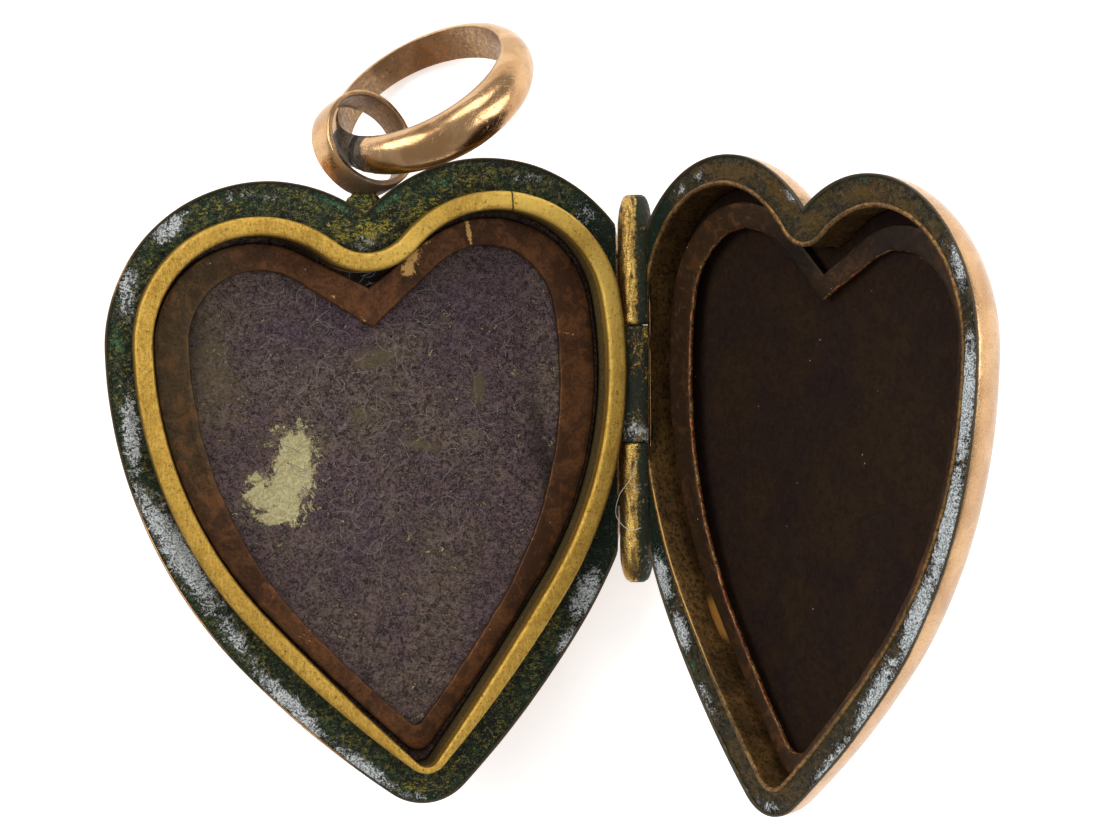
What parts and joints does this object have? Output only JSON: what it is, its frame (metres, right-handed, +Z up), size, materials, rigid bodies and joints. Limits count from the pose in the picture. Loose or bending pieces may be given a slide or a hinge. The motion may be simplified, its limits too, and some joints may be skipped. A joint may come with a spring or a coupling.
{
  "type": "locket",
  "caption": "Antique heart locket lying open: puffed hinged halves with raised snap bezel, felt-lined wells, loose copper picture frames, fixed loop and tapered bail ring.",
  "frame": {"origin": "middle of the whole open locket's box, on the surface it lies on", "axes": "+X across the open halves from the back half to the front cover, +Y along the hinge towards the bail, +Z up"},
  "size_m": [0.0344, 0.0312, 0.0201],
  "materials": {
    "rose_gold": "polished rose gold, worn",
    "tarnished_plate": "gold sheet under green verdigris and white bloom",
    "yellow_gold": "matt yellow gold",
    "gilt_sheet": "dull gilt",
    "brown_gold": "browned gold",
    "copper": "tarnished brown copper",
    "felt": "worn purple-grey felt",
    "solder": "grey solder",
    "hinge_gold": "grimy gold with verdigris",
    "steel": "plain wire"
  },
  "bodies": {
    "back": {"back_shell": "rose_gold", "back_rim_plate": "tarnished_plate", "snap_bezel": "yellow_gold", "back_well_floor": "gilt_sheet", "back_lining": "felt", "back_photo_frame": "copper", "fixed_loop": "rose_gold", "loop_solder": "solder", "middle_knuckle": "hinge_gold"},
    "front": {"front_shell": "rose_gold", "front_rim_plate": "tarnished_plate", "front_well_wall": "brown_gold", "front_well_floor": "gilt_sheet", "front_lining": "felt", "front_photo_frame": "copper", "upper_knuckle": "hinge_gold", "lower_knuckle": "hinge_gold", "hinge_pin": "steel"},
    "bail": {"bail_ring": "rose_gold", "bail_solder": "solder"}
  },
  "joints": [
    {"name": "case_hinge", "type": "hinge", "parent": "back", "child": "front", "pos_m": [0.00382, -0.00041, 0.00246], "axis": [0, -1, 0], "range_deg": [-55, 112.4]},
    {"name": "bail_swing", "type": "hinge", "parent": "back", "child": "bail", "pos_m": [-0.00767, 0.01049, 0.00462], "axis": [0.4404, -0.3245, 0.8371], "range_deg": [0, 35]}
  ]
}
